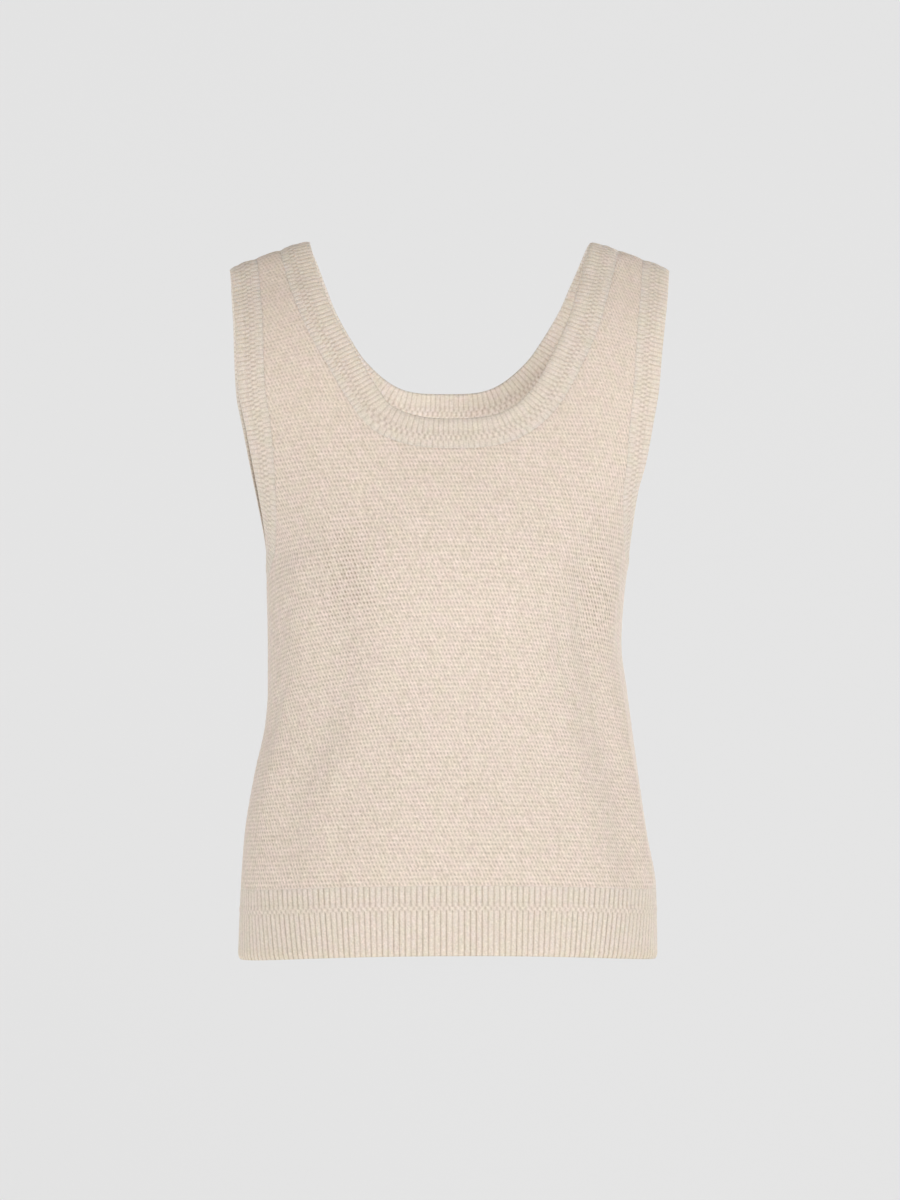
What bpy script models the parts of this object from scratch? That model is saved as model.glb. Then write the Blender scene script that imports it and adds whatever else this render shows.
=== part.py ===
"""A knit tank top, filled out as if it were worn, with its neck, armholes and hem open.

Metres, +Z up. The front faces -Y and the wearer's right side is at -X. The origin is midway
between the two shoulders, level with the highest point of the shoulder seams, where the
straps hang on whoever wears it.

The whole garment lies on one surface, the outer face of the cloth. A place on it has two
coordinates. The first is the angle round the body, from 0 at the centre line to 90 degrees
at a side seam, negative at -X. The second is the run, the square root of the drop below the
shoulder line, negative on the front and positive on the back, so that the cloth passes
over the shoulder without a crease. Every piece is cut out of that surface.
"""

import math
from bisect import bisect_right
from collections import namedtuple

import bmesh
import bpy
from mathutils import Vector

# Sizes from the shoulder line down
LENGTH = 0.600
SHOULDER_SLOPE = 0.024
NECK_POINT = 0.1175
STRAP_END = 0.185
UNDERARM = 0.262
HEM_BAND = 0.0586
NECKBAND = 0.0262
ARMBAND = 0.024

# Cloth
WALL = 0.0020
SEAM_GAP = 0.0003
CHORD_SLACK = 0.0013
ROUNDNESS = 2.3
HEM_LIFT = 0.0075
SHOULDER_FLATNESS = 0.85

# Ribs, and the raised purl row that crosses them
HEM_RIB_PITCH = 0.0049
EDGE_RIB_PITCH = 0.0039
RIB_SINK = 0.0002
RIB_RISE = 0.0007
PURL_RISE = 0.0009
RIB_LEAN = 0.15

# How finely the panels are divided
PANEL_COLUMNS = 8
BODY_ROWS = 10
CHEST_ROWS = 7
STRAP_ROWS = 18
WALK_STEPS = 5
EDGE_SAMPLES = 240
SEAM_ARC = SEAM_GAP / 2

# One row for each level section, from the shoulder line to the hem. Left and right are the
# half-widths of the outline, which the armhole edge makes above the underarm. Wrap is how
# much wider the body's own section is there than the armhole edge.
Section = namedtuple("Section", "drop left right wrap front back")
SECTIONS = (
    Section(0.000, 0.1850, 0.1850, 1.660, 0.0000, 0.0000),
    Section(0.025, 0.1826, 0.1811, 1.615, 0.0310, 0.0300),
    Section(0.050, 0.1811, 0.1778, 1.445, 0.0510, 0.0440),
    Section(0.080, 0.1803, 0.1744, 1.344, 0.0680, 0.0570),
    Section(0.115, 0.1786, 0.1714, 1.266, 0.0825, 0.0690),
    Section(0.150, 0.1731, 0.1664, 1.193, 0.0935, 0.0780),
    Section(0.185, 0.1674, 0.1609, 1.122, 0.1035, 0.0850),
    Section(0.212, 0.1626, 0.1549, 1.069, 0.1100, 0.0875),
    Section(0.238, 0.1580, 0.1519, 1.024, 0.1145, 0.0885),
    Section(0.254, 0.1552, 0.1503, 1.005, 0.1163, 0.0885),
    Section(0.262, 0.1540, 0.1498, 1.000, 0.1170, 0.0885),
    Section(0.295, 0.1532, 0.1456, 1.000, 0.1160, 0.0865),
    Section(0.336, 0.1523, 0.1431, 1.000, 0.1100, 0.0820),
    Section(0.378, 0.1523, 0.1481, 1.000, 0.1040, 0.0790),
    Section(0.401, 0.1540, 0.1511, 1.000, 0.1020, 0.0790),
    Section(0.449, 0.1640, 0.1577, 1.000, 0.1010, 0.0830),
    Section(0.496, 0.1716, 0.1646, 1.000, 0.1020, 0.0890),
    Section(0.542, 0.1749, 0.1724, 1.000, 0.1040, 0.0930),
    Section(0.600, 0.1772, 0.1735, 1.000, 0.1050, 0.0960),
)

# The free edge of the neckband, from the centre line out to the shoulder line. It hangs a
# few millimetres fuller on the left of the photographed front than on the right.
EdgePoint = namedtuple("EdgePoint", "left right drop")
FRONT_NECK = (
    EdgePoint(0.0000, 0.0000, 0.1508),
    EdgePoint(0.0365, 0.0330, 0.1472),
    EdgePoint(0.0540, 0.0500, 0.1390),
    EdgePoint(0.0622, 0.0615, 0.1280),
    EdgePoint(0.0820, 0.0820, 0.0945),
    EdgePoint(0.0962, 0.0945, 0.0685),
    EdgePoint(0.1070, 0.1035, 0.0420),
    EdgePoint(0.1130, 0.1100, 0.0205),
    EdgePoint(0.1165, 0.1145, 0.0060),
)
BACK_NECK = (
    EdgePoint(0.0000, 0.0000, 0.1254),
    EdgePoint(0.0345, 0.0345, 0.1225),
    EdgePoint(0.0680, 0.0680, 0.0985),
    EdgePoint(0.0810, 0.0810, 0.0800),
    EdgePoint(0.0935, 0.0935, 0.0585),
    EdgePoint(0.1030, 0.1030, 0.0360),
    EdgePoint(0.1105, 0.1105, 0.0175),
    EdgePoint(0.1163, 0.1150, 0.0050),
)

# The largest soft folds: each runs from one place to another on the front (-1) or the back
# (+1), and pushes the cloth out, or in where the push is negative.
Fold = namedtuple("Fold", "face angle_1 drop_1 angle_2 drop_2 width push")
FOLDS = (
    Fold(-1, -36, 0.350, -50, 0.470, 0.016, -0.0045),
    Fold(-1, -54, 0.300, -64, 0.440, 0.018, 0.0035),
    Fold(-1, 44, 0.285, 55, 0.520, 0.016, -0.0040),
    Fold(-1, 62, 0.310, 68, 0.500, 0.018, 0.0030),
    Fold(-1, -40, 0.250, -62, 0.290, 0.020, 0.0030),
    Fold(-1, 40, 0.250, 62, 0.285, 0.020, 0.0030),
    Fold(1, -34, 0.330, -46, 0.480, 0.020, -0.0040),
    Fold(1, 38, 0.300, 50, 0.500, 0.020, -0.0040),
    Fold(1, 4, 0.340, -6, 0.520, 0.026, -0.0030),
)
FOLD_REACH = 0.13

# The levels of a band, as shares of its width. The hem's run up from its free edge to its
# join, and the other bands' the other way. The crest is the level along the raised purl row.
HEM_LEVELS = (1.0, 0.34, 0.29, 0.24, 0.0)
HEM_CREST = 2
EDGE_LEVELS = (0.0, 0.6, 1.0)
EDGE_CREST = 1

CLOTH_COLOUR = (0.745, 0.640, 0.540)
BAND_COLOUR = (0.775, 0.690, 0.575)
CLOTH_ROUGHNESS = 0.9

NAME = "knit_tank_top"


def start_empty():
    for thing in list(bpy.data.objects):
        bpy.data.objects.remove(thing)


def finish_colour(name, colour):
    material = bpy.data.materials.new(name)
    material.use_nodes = True
    shader = material.node_tree.nodes["Principled BSDF"]
    shader.inputs["Base Color"].default_value = (*colour, 1)
    shader.inputs["Roughness"].default_value = CLOTH_ROUGHNESS
    shader.inputs["Metallic"].default_value = 0
    return material


def smooth_slopes(xs, ys):
    """The slope at each point of a curve that never swings past its own points."""
    gaps = [b - a for a, b in zip(xs, xs[1:])]
    rises = [(b - a) / gap for a, b, gap in zip(ys, ys[1:], gaps)]
    slopes = [rises[0]]
    for i in range(1, len(rises)):
        before, after = rises[i - 1], rises[i]
        if before * after <= 0:
            slopes.append(0.0)
            continue
        near = 2 * gaps[i] + gaps[i - 1]
        far = gaps[i] + 2 * gaps[i - 1]
        slopes.append((near + far) / (near / before + far / after))
    slopes.append(rises[-1])
    return slopes


class Curve:
    """A smooth curve through (x, y) points, read at any x."""

    def __init__(self, xs, ys):
        self.xs = list(xs)
        self.ys = list(ys)
        self.slopes = smooth_slopes(self.xs, self.ys)

    def __call__(self, x):
        i = min(max(bisect_right(self.xs, x) - 1, 0), len(self.xs) - 2)
        gap = self.xs[i + 1] - self.xs[i]
        u = min(max((x - self.xs[i]) / gap, 0.0), 1.0)
        start = self.ys[i] * (1 + 2 * u) + self.slopes[i] * gap * u
        end = self.ys[i + 1] * (3 - 2 * u) - self.slopes[i + 1] * gap * (1 - u)
        return start * (1 - u) ** 2 + end * u**2


RUNS = [math.sqrt(section.drop) for section in SECTIONS]
BODY = {
    column: Curve(RUNS, [getattr(section, column) for section in SECTIONS])
    for column in Section._fields[1:]
}


def ease(share):
    share = min(max(share, 0.0), 1.0)
    return share * share * (3 - 2 * share)


def body_width(angle, run):
    """The half-width of the body's own section on the side that the angle is on."""
    side = "left" if angle < 0 else "right"
    return BODY[side](abs(run)) * BODY["wrap"](abs(run))


def angle_at(across, run):
    """The angle of the place that lies this far across from the centre line."""
    share = min(abs(across) / body_width(across, run), 1.0)
    return math.copysign(math.asin(share ** (ROUNDNESS / 2)), across)


def seam_angle(run):
    """The angle of a side seam's edge, half a seam gap short of the side."""
    depth = BODY["front" if run < 0 else "back"](abs(run))
    return math.acos(min(SEAM_ARC / max(depth, SEAM_ARC), 1.0) ** (ROUNDNESS / 2))


def fold_push(angle, run):
    """How far the folds push the cloth out at this place."""
    face = -1 if run < 0 else 1
    drop = run * run
    push = 0.0
    for fold in FOLDS:
        if fold.face != face:
            continue
        along = ease((drop - fold.drop_1) / (fold.drop_2 - fold.drop_1))
        middle = math.radians(fold.angle_1 + (fold.angle_2 - fold.angle_1) * along)
        beyond = max(fold.drop_1 - drop, drop - fold.drop_2, 0.0)
        off = math.hypot((angle - middle) * FOLD_REACH / fold.width, beyond / (2 * fold.width))
        push += fold.push * math.exp(-off * off)
    return push


def cloth(angle, run):
    """The point of the garment's outer surface at this angle and run."""
    face = -1 if run < 0 else 1
    level = abs(run)
    drop = level * level
    depth = BODY["front" if face < 0 else "back"](level)
    sine, cosine = math.sin(angle), math.cos(angle)
    x = math.copysign(body_width(angle, run) * abs(sine) ** (2 / ROUNDNESS), angle)
    y = face * depth * max(cosine, 0.0) ** (2 / ROUNDNESS)
    beyond_neck = (x * x - NECK_POINT**2) / (STRAP_END**2 - NECK_POINT**2)
    z = -drop - SHOULDER_SLOPE * max(beyond_neck, 0.0) * (1 - ease(drop / UNDERARM))
    if face < 0:
        z += HEM_LIFT * cosine**2 * ease((drop - UNDERARM) / (LENGTH - UNDERARM))
    push = fold_push(angle, run)
    return Vector((x + push * sine, y + face * push * cosine, z))


def slopes_at(angle, run):
    """How the surface's point moves with the angle and with the run."""
    step = 1e-4
    by_angle = (cloth(angle + step, run) - cloth(angle - step, run)) / (2 * step)
    if abs(run) < step:
        run = math.copysign(step, run)
    by_run = (cloth(angle, run + step / 2) - cloth(angle, run - step / 2)) / step
    return by_angle, by_run


def outward(angle, run):
    """The direction that the surface faces."""
    limit = math.pi / 2 - 2e-4
    by_angle, by_run = slopes_at(min(max(angle, -limit), limit), run)
    return by_angle.cross(by_run).normalized()


def walk(place, along, width):
    """The place reached by walking this far over the cloth, square to an edge and away
    from the opening, which is on the left of the edge's own direction."""
    angle, run = place
    limit = math.pi / 2 - 2e-4
    for _ in range(WALK_STEPS):
        by_angle, by_run = slopes_at(min(max(angle, -limit), limit), run)
        step = along.cross(by_angle.cross(by_run)).normalized() * (width / WALK_STEPS)
        aa, ar, rr = by_angle.dot(by_angle), by_angle.dot(by_run), by_run.dot(by_run)
        sa, sr = by_angle.dot(step), by_run.dot(step)
        spread = aa * rr - ar * ar
        angle += (sa * rr - sr * ar) / spread
        run += (sr * aa - sa * ar) / spread
    return angle, run


def spaced(places, count):
    """This many places, evenly spaced along the line through the ones given."""
    points = [cloth(*place) for place in places]
    reach = [0.0]
    for a, b in zip(points, points[1:]):
        reach.append(reach[-1] + (b - a).length)
    chosen = []
    for i in range(count):
        want = reach[-1] * i / (count - 1)
        j = min(max(bisect_right(reach, want) - 1, 0), len(reach) - 2)
        share = (want - reach[j]) / (reach[j + 1] - reach[j])
        (a1, r1), (a2, r2) = places[j], places[j + 1]
        chosen.append((a1 + (a2 - a1) * share, r1 + (r2 - r1) * share))
    return chosen


def line_length(places):
    points = [cloth(*place) for place in places]
    return sum((b - a).length for a, b in zip(points, points[1:]))


def shifted(edge, width):
    """A line over the cloth, at an even distance from an edge whose ends meet."""
    points = [cloth(*place) for place in edge]
    line = []
    for i, place in enumerate(edge):
        along = points[i + 1] - points[i - 1] if 0 < i < len(edge) - 1 else points[1] - points[-2]
        line.append(walk(place, along.normalized(), width))
    return line


def loop_spline(points, steps):
    """A smooth closed curve through (x, y) points, with this many steps between each two."""
    count = len(points)
    gaps = [math.dist(points[i], points[(i + 1) % count]) for i in range(count)]
    slopes = []
    for i in range(count):
        before, after = gaps[i - 1], gaps[i]
        slopes.append([
            (points[i][k] - points[i - 1][k]) * after / before / (before + after)
            + (points[(i + 1) % count][k] - points[i][k]) * before / after / (before + after)
            for k in (0, 1)
        ])
    curve = []
    for i in range(count):
        j = (i + 1) % count
        for step in range(steps):
            u = step / steps
            weights = (
                (1 + 2 * u) * (1 - u) ** 2,
                u * (1 - u) ** 2 * gaps[i],
                u * u * (3 - 2 * u),
                -u * u * (1 - u) * gaps[i],
            )
            curve.append(tuple(
                weights[0] * points[i][k] + weights[1] * slopes[i][k]
                + weights[2] * points[j][k] + weights[3] * slopes[j][k]
                for k in (0, 1)
            ))
    return curve


def neck_edge():
    """The neck's free edge, from the left shoulder round the front and the back again."""
    around = [(-NECK_POINT, 0.0)]
    around += [(-point.left, -math.sqrt(point.drop)) for point in FRONT_NECK[:0:-1]]
    around += [(point.right, -math.sqrt(point.drop)) for point in FRONT_NECK]
    around += [(NECK_POINT, 0.0)]
    around += [(point.right, math.sqrt(point.drop)) for point in BACK_NECK[::-1]]
    around += [(-point.left, math.sqrt(point.drop)) for point in BACK_NECK[1:]]
    steps = EDGE_SAMPLES // len(around) + 4
    curve = loop_spline(around, steps)
    return [(angle_at(across, run), run) for across, run in curve + curve[:1]]


def half_of(line, face):
    """The part of a line that lies on the front or on the back."""
    return [place for place in line[1:-1] if place[1] * face > 0]


def armhole_edge(side, face):
    """Half an armhole's free edge, from the underarm up to the shoulder line."""
    edge = []
    for i in range(EDGE_SAMPLES):
        drop = UNDERARM * (1 + math.cos(math.pi * i / (EDGE_SAMPLES - 1))) / 2
        run = face * math.sqrt(drop)
        angle = math.asin(BODY["wrap"](abs(run)) ** (-ROUNDNESS / 2))
        edge.append((side * (min(angle, seam_angle(run)) if i < EDGE_SAMPLES / 2 else angle), run))
    return edge


def whole_armhole(side):
    """An armhole's free edge, with the opening on its left all the way."""
    first, last = armhole_edge(side, side), armhole_edge(side, -side)
    return first + last[-2::-1]


def trimmed(line, gap):
    """A closed line opened by this gap where it begins and ends."""
    share = gap / 2 / line_length(line)
    many = 4000
    fine = spaced(line, many)
    cut = max(round(share * many), 1)
    return fine[cut:-cut:4]


def make_object(name, bm, material, group):
    bmesh.ops.recalc_face_normals(bm, faces=bm.faces)
    mesh = bpy.data.meshes.new(name)
    bm.to_mesh(mesh)
    bm.free()
    mesh.materials.append(material)
    mesh.shade_smooth()
    mesh.set_sharp_from_angle(angle=math.radians(50))
    thing = bpy.data.objects.new(name, mesh)
    group.objects.link(thing)
    return thing


def ribbed_strip(name, levels, crest, material, group):
    """A strip of rib: the outer points stand up on every other column, and all along the
    crest of the purl row, over a plain inside with one column for each rib."""
    bm = bmesh.new()
    outer, inner = [], []
    for number, level in enumerate(levels):
        row = []
        for column, place in enumerate(level):
            rise = PURL_RISE if number == crest else RIB_RISE if column % 2 else -RIB_SINK
            row.append(bm.verts.new(cloth(*place) + outward(*place) * rise))
        outer.append(row)
    for level in (levels[0], levels[-1]):
        inner.append([
            bm.verts.new(cloth(*place) - outward(*place) * WALL) for place in level[::2]
        ])
    for upper, lower in zip(outer, outer[1:]):
        for i in range(len(upper) - 1):
            bm.faces.new((upper[i], upper[i + 1], lower[i + 1], lower[i]))
    for i in range(len(inner[0]) - 1):
        bm.faces.new((inner[0][i], inner[1][i], inner[1][i + 1], inner[0][i + 1]))
        for rim, base in ((outer[0], inner[0]), (outer[-1], inner[1])):
            a, b, c = rim[2 * i : 2 * i + 3]
            bm.faces.new((a, b, base[i]))
            bm.faces.new((b, base[i + 1], base[i]))
            bm.faces.new((b, c, base[i + 1]))
    for end in (0, -1):
        bm.faces.new([row[end] for row in outer] + [inner[1][end], inner[0][end]])
    return make_object(name, bm, material, group)


def rib_columns(length, pitch):
    return 2 * round(length / pitch) + 1


def hem_band(name, face, material, group):
    join = LENGTH - HEM_BAND
    drops = [join + SEAM_GAP + share * (HEM_BAND - SEAM_GAP) for share in HEM_LEVELS]
    top = face * math.sqrt(join)
    edge = seam_angle(top)
    sweep = [(edge * (2 * i / EDGE_SAMPLES - 1), top) for i in range(EDGE_SAMPLES + 1)]
    columns = spaced(sweep, rib_columns(line_length(sweep), HEM_RIB_PITCH))
    levels = []
    for drop in drops:
        run = face * math.sqrt(drop)
        reach = seam_angle(run) / edge
        lean = RIB_LEAN * (drop - join) / FOLD_REACH
        levels.append([
            (angle * reach - lean * math.sin(2 * angle * reach), run) for angle, _ in columns
        ])
    return ribbed_strip(name, levels, HEM_CREST, material, group)


def edge_band(name, edge, width, material, group):
    columns = spaced(edge, rib_columns(line_length(edge), EDGE_RIB_PITCH))
    levels = [shifted(columns, width * share) for share in EDGE_LEVELS]
    return ribbed_strip(name, levels, EDGE_CREST, material, group)


def clear_of_shoulder(run, face):
    """The run, but for half a seam gap beside the shoulder line."""
    steepness = BODY["front" if face < 0 else "back"].slopes[0]
    return face * max(abs(run), SEAM_ARC / (SHOULDER_FLATNESS * steepness))


def between(inner, outer, share):
    """A place part of the way across a row, bowed so that the row is level at its middle."""
    angle = inner[0] + (outer[0] - inner[0]) * share
    run = inner[1] + (outer[1] - inner[1]) * share**1.5
    return angle, run


def panel_rows(face):
    """The rows of places of a body panel from the hem up. Each has a left and a right half,
    which share their first place unless the row is in the straps."""
    gap = SEAM_GAP + CHORD_SLACK
    neck = half_of(shifted(neck_edge(), NECKBAND + gap), face)
    bottom = max(abs(run) for _, run in neck)
    halves = {}
    for side in (-1, 1):
        arm = half_of(shifted(whole_armhole(side), ARMBAND + gap), face)
        arm.sort(key=lambda place: -abs(place[1]))
        arm = [(side * seam_angle(arm[0][1]), arm[0][1])] + arm[1:]
        arm.append((arm[-1][0], clear_of_shoulder(0, face)))
        halves[side] = spaced(arm, CHEST_ROWS + STRAP_ROWS + 1)
    underarm = max(abs(halves[side][0][1]) for side in halves)
    rows = []
    for i in range(BODY_ROWS):
        low = LENGTH - HEM_BAND - SEAM_GAP
        run = face * math.sqrt(low + (underarm**2 - low) * i / BODY_ROWS)
        rows.append({side: ((0.0, run), (side * seam_angle(run), run)) for side in halves})
    for i in range(CHEST_ROWS):
        run = face * (underarm + (bottom - underarm) * i / CHEST_ROWS)
        rows.append({side: ((0.0, run), halves[side][i]) for side in halves})
    inner = {}
    for side in halves:
        line = [place for place in neck if place[0] * side > 0]
        line.sort(key=lambda place: -abs(place[1]))
        line.append((line[-1][0], clear_of_shoulder(0, face)))
        inner[side] = spaced([(0.0, face * bottom)] + line, STRAP_ROWS + 1)
    for i in range(STRAP_ROWS + 1):
        rows.append({side: (inner[side][i], halves[side][CHEST_ROWS + i]) for side in halves})
    return [
        {
            side: [between(*row[side], j / PANEL_COLUMNS) for j in range(PANEL_COLUMNS + 1)]
            for side in row
        }
        for row in rows
    ]


def panel(name, face, material, group):
    """A body panel: an outer and an inner face over the same places, closed at the rim."""
    bm = bmesh.new()
    rows = panel_rows(face)
    sheets = []
    for thickness in (0.0, WALL):
        made = {}

        def corner(place):
            key = (round(place[0], 7), round(place[1], 7))
            if key not in made:
                made[key] = bm.verts.new(cloth(*place) - outward(*place) * thickness)
            return made[key]

        sheets.append([{side: [corner(p) for p in row[side]] for side in row} for row in rows])
    rims = {}
    for front, back in zip(*sheets):
        for side in front:
            rims.update(zip(front[side], back[side]))
    for sheet in sheets:
        for low, high in zip(sheet, sheet[1:]):
            for side in low:
                for i in range(PANEL_COLUMNS):
                    corners = (low[side][i], low[side][i + 1], high[side][i + 1], high[side][i])
                    bm.faces.new(corners)
    for edge in [edge for edge in bm.edges if len(edge.link_faces) == 1]:
        a, b = edge.verts
        if a in rims and b in rims:
            bm.faces.new((a, b, rims[b], rims[a]))
    return make_object(name, bm, material, group)


def main():
    start_empty()
    group = bpy.data.collections.new(NAME)
    bpy.context.scene.collection.children.link(group)
    knit = finish_colour("pin_point_knit", CLOTH_COLOUR)
    rib = finish_colour("rib_knit", BAND_COLOUR)
    panel("front_panel", -1, knit, group)
    panel("back_panel", 1, knit, group)
    hem_band("hem_band_front", -1, rib, group)
    hem_band("hem_band_back", 1, rib, group)
    edge_band("neckband", trimmed(neck_edge(), SEAM_GAP), NECKBAND, rib, group)
    edge_band("armband_left", whole_armhole(-1), ARMBAND, rib, group)
    edge_band("armband_right", whole_armhole(1), ARMBAND, rib, group)


main()
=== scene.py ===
# %% [markdown]
# # A knit tank top
#
# This lesson dresses a plain model of a hollow, filled-out tank top as real knitwear. The
# plain model comes from the frame. It holds one solid for each piece that a maker would
# knit: two panels, two hem bands, a neckband and two armhole bands. Each of them gets a
# finely knitted piece in its place, on the same surface but for some finer folds.

# %% Load the frame and keep its box
import math

import bmesh
import bpy
import numpy as np
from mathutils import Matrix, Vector


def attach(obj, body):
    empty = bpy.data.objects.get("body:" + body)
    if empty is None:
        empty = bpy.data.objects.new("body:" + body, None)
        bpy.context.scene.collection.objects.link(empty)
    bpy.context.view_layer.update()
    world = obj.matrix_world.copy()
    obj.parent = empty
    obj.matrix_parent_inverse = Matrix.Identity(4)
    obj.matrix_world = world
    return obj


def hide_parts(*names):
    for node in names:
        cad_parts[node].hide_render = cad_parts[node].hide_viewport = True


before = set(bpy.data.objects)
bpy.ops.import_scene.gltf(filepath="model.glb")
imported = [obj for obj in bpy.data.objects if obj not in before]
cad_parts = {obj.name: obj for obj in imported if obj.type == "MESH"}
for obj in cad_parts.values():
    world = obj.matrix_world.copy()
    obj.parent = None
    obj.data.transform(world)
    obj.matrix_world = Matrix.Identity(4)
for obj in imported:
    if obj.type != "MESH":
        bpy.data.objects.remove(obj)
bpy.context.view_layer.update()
print("nodes:", ", ".join(sorted(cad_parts)))

# %% [markdown]
# ## The camera
#
# A shop photographs knitwear from some metres away with a long lens, so that it hardly
# narrows towards the top. The camera is level with the middle of the garment. It stands a
# few degrees towards the wearer's right, which moves the back a little to the left behind
# the front. The frame's height at the garment gives the lens.

# %% Camera
SCENE = bpy.context.scene
PHOTO_HEIGHT = 1200
METRES_PER_PIXEL = 0.000837
CAMERA_DISTANCE = 5.0
CAMERA_TURN = math.radians(3.0)
MIDDLE = Vector((0.0, 0.0, -0.3005))

camera = bpy.data.objects.new("camera", bpy.data.cameras.new("camera"))
SCENE.collection.objects.link(camera)
ahead = Vector((math.sin(CAMERA_TURN), math.cos(CAMERA_TURN), 0.0))
camera.location = MIDDLE - ahead * CAMERA_DISTANCE
camera.rotation_euler = ahead.to_track_quat("-Z", "Y").to_euler()
camera.data.lens = camera.data.sensor_width * CAMERA_DISTANCE / (PHOTO_HEIGHT * METRES_PER_PIXEL)
SCENE.camera = camera
print(f"a {camera.data.lens:.0f} mm lens from {CAMERA_DISTANCE:.0f} m")

# %% [markdown]
# ## One surface for the whole garment
#
# Every piece of the garment lies on one smooth surface, the outer face of the cloth. It
# could be copied from the frame's solids, but their facets would show. So the surface is
# worked out again from the same sizes: level sections from the shoulder line down to the
# hem, each a rounded oval with its own half-widths and depths. A place on it is an angle
# round the body, 0 at the centre line and 90 degrees at a side seam, and a run, the square
# root of the drop below the shoulder line, negative on the front. The root makes the cloth
# pass over the shoulder in a round curve.

# %% Sizes of the garment
LENGTH = 0.600
SHOULDER_SLOPE = 0.024
NECK_POINT = 0.1175
STRAP_END = 0.185
UNDERARM = 0.262
HEM_BAND = 0.0586
NECKBAND = 0.0262
ARMBAND = 0.024
ROUNDNESS = 2.3
HEM_LIFT = 0.0075

# Each row: drop, half-width left and right, how much wider the body's own section is there
# than the armhole edge, and the depth of the front and of the back
SECTIONS = np.array((
    (0.000, 0.1850, 0.1850, 1.660, 0.0000, 0.0000),
    (0.025, 0.1826, 0.1811, 1.615, 0.0310, 0.0300),
    (0.050, 0.1811, 0.1778, 1.445, 0.0510, 0.0440),
    (0.080, 0.1803, 0.1744, 1.344, 0.0680, 0.0570),
    (0.115, 0.1786, 0.1714, 1.266, 0.0825, 0.0690),
    (0.150, 0.1731, 0.1664, 1.193, 0.0935, 0.0780),
    (0.185, 0.1674, 0.1609, 1.122, 0.1035, 0.0850),
    (0.212, 0.1626, 0.1549, 1.069, 0.1100, 0.0875),
    (0.238, 0.1580, 0.1519, 1.024, 0.1145, 0.0885),
    (0.254, 0.1552, 0.1503, 1.005, 0.1163, 0.0885),
    (0.262, 0.1540, 0.1498, 1.000, 0.1170, 0.0885),
    (0.295, 0.1532, 0.1456, 1.000, 0.1160, 0.0865),
    (0.336, 0.1523, 0.1431, 1.000, 0.1100, 0.0820),
    (0.378, 0.1523, 0.1481, 1.000, 0.1040, 0.0790),
    (0.401, 0.1540, 0.1511, 1.000, 0.1020, 0.0790),
    (0.449, 0.1640, 0.1577, 1.000, 0.1010, 0.0830),
    (0.496, 0.1716, 0.1646, 1.000, 0.1020, 0.0890),
    (0.542, 0.1749, 0.1724, 1.000, 0.1040, 0.0930),
    (0.600, 0.1772, 0.1735, 1.000, 0.1050, 0.0960),
))


def smooth_curve(xs, ys):
    """A function that reads a smooth curve through these points and never swings past them."""
    gaps = np.diff(xs)
    rises = np.diff(ys) / gaps
    before, after = rises[:-1], rises[1:]
    turns = before * after <= 0
    near, far = 2 * gaps[1:] + gaps[:-1], gaps[1:] + 2 * gaps[:-1]
    share = near / np.where(turns, 1, before) + far / np.where(turns, 1, after)
    slopes = np.concatenate([rises[:1], np.where(turns, 0, (near + far) / share), rises[-1:]])

    def read(x):
        i = np.clip(np.searchsorted(xs, x, side="right") - 1, 0, len(gaps) - 1)
        u = np.clip((x - xs[i]) / gaps[i], 0, 1)
        start = ys[i] * (1 + 2 * u) + slopes[i] * gaps[i] * u
        end = ys[i + 1] * (3 - 2 * u) - slopes[i + 1] * gaps[i] * (1 - u)
        return start * (1 - u) ** 2 + end * u**2

    return read


RUNS = np.sqrt(SECTIONS[:, 0])
LEFT, RIGHT, WRAP, FRONT, BACK = (smooth_curve(RUNS, column) for column in SECTIONS.T[1:])
print(f"{len(SECTIONS)} sections over {LENGTH * 1000:.0f} mm")

# %% [markdown]
# ## Soft folds
#
# Knitwear doesn't crease. Where the body turns in under the bust, the cloth is spare and
# lies in long shallow troughs with rounded ridges beside them. They could be simulated,
# but a simulation would move the outline, so each is given as a line from one
# place to another with its own width and push. The first nine are also in the solids,
# where four of them have slightly other sizes. The finer ones below them are the small,
# uneven ripples that only show in raking light.

# %% Folds
# Each row: front -1 or back +1, angle and drop of both ends, width, push out
FOLDS = (
    (-1, -36, 0.350, -50, 0.490, 0.019, -0.0036),
    (-1, -54, 0.300, -64, 0.440, 0.018, 0.0035),
    (-1, 44, 0.275, 55, 0.500, 0.016, -0.0046),
    (-1, 62, 0.310, 68, 0.500, 0.018, 0.0030),
    (-1, -40, 0.250, -62, 0.290, 0.020, 0.0015),
    (-1, 40, 0.250, 62, 0.285, 0.020, 0.0015),
    (1, -34, 0.330, -46, 0.480, 0.020, -0.0040),
    (1, 38, 0.300, 50, 0.500, 0.020, -0.0040),
    (1, 4, 0.340, -6, 0.520, 0.026, -0.0030),
    # the finer ripples
    (-1, -47, 0.275, -66, 0.330, 0.009, -0.0009),
    (-1, -58, 0.350, -72, 0.400, 0.010, -0.0014),
    (-1, -20, 0.400, -30, 0.500, 0.013, -0.0012),
    (-1, 34, 0.330, 45, 0.440, 0.009, -0.0016),
    (-1, 50, 0.270, 70, 0.320, 0.009, -0.0009),
    (-1, 22, 0.430, 30, 0.520, 0.014, -0.0012),
    (-1, 68, 0.390, 74, 0.520, 0.008, 0.0012),
    (-1, -18, 0.190, -24, 0.240, 0.010, -0.0010),
    (-1, 20, 0.185, 27, 0.245, 0.010, -0.0010),
    (1, -60, 0.290, -72, 0.360, 0.010, -0.0016),
    (1, 60, 0.285, 74, 0.350, 0.010, -0.0015),
    (1, -18, 0.380, -26, 0.500, 0.013, 0.0013),
    (1, 22, 0.350, 30, 0.460, 0.013, 0.0013),
    (1, 10, 0.160, 22, 0.210, 0.012, -0.0012),
    (1, -12, 0.165, -24, 0.215, 0.012, -0.0011),
)
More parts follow.
